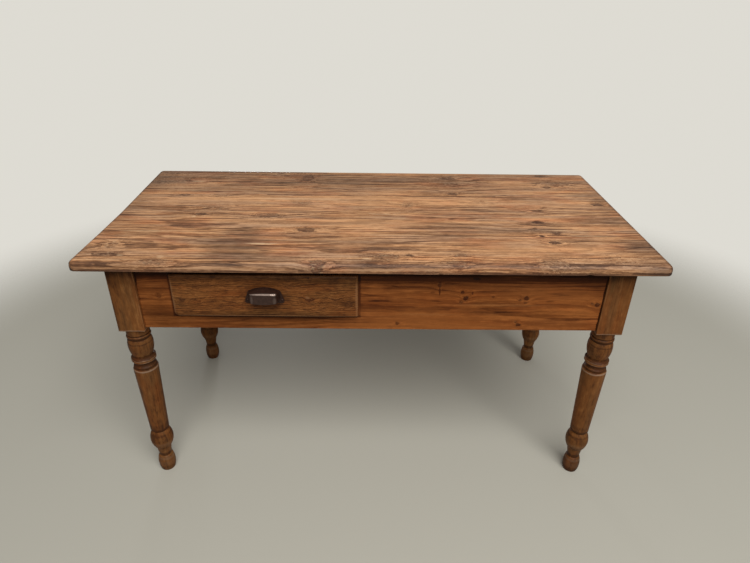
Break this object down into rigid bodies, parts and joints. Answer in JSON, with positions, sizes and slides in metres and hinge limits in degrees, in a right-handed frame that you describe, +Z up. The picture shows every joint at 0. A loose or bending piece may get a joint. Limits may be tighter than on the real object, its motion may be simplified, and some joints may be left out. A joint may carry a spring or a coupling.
{
  "type": "farmhouse table",
  "caption": "Farmhouse work table with a plank top, turned legs, plain aprons and a lipped drawer with a cup pull.",
  "frame": {"origin": "on the floor, under the middle of the top", "axes": "+X along the table to the right as one faces the drawer, +Y away from the drawer side, +Z up"},
  "size_m": [1.518, 0.73, 0.77],
  "materials": {
    "top_wood": "waxed old pine, streaked tan to dark brown, with knots",
    "apron_wood": "waxed pine, reddish orange brown, with knots",
    "leg_wood": "stained and waxed pine, mid to dark brown",
    "drawer_front_wood": "stained and waxed, darker brown with coarse grain",
    "drawer_box_wood": "bare pine",
    "inner_wood": "bare pine, darkened with age",
    "pull_iron": "dark waxed iron, rubbed bright on its front lip",
    "fixing_steel": "plain steel"
  },
  "bodies": {
    "table": {"apron_back": "apron_wood", "apron_front": "apron_wood", "apron_left": "apron_wood", "apron_right": "apron_wood", "corner_brace_back_left": "inner_wood", "corner_brace_back_right": "inner_wood", "corner_brace_front_left": "inner_wood", "corner_brace_front_right": "inner_wood", "corner_brace_screws": "fixing_steel", "drawer_guide_left": "inner_wood", "drawer_guide_right": "inner_wood", "drawer_guide_screws": "fixing_steel", "drawer_kicker_left": "inner_wood", "drawer_kicker_right": "inner_wood", "drawer_runner_left": "inner_wood", "drawer_runner_right": "inner_wood", "leg_back_left": "leg_wood", "leg_back_right": "leg_wood", "leg_front_left": "leg_wood", "leg_front_right": "leg_wood", "top_board_back": "top_wood", "top_board_back_middle": "top_wood", "top_board_front": "top_wood", "top_board_front_middle": "top_wood", "top_button_screws": "fixing_steel", "top_buttons": "inner_wood", "top_dowels": "inner_wood"},
    "drawer": {"cup_pull": "pull_iron", "cup_pull_screws": "pull_iron", "drawer_back": "drawer_box_wood", "drawer_bottom": "drawer_box_wood", "drawer_front": "drawer_front_wood", "drawer_nails": "fixing_steel", "drawer_side_left": "drawer_box_wood", "drawer_side_right": "drawer_box_wood", "drawer_stop_button": "inner_wood", "drawer_stop_screw": "fixing_steel"}
  },
  "joints": [
    {"name": "drawer_slide", "type": "slide", "parent": "table", "child": "drawer", "axis": [0, -1, 0], "range_m": [0, 0.385]}
  ]
}
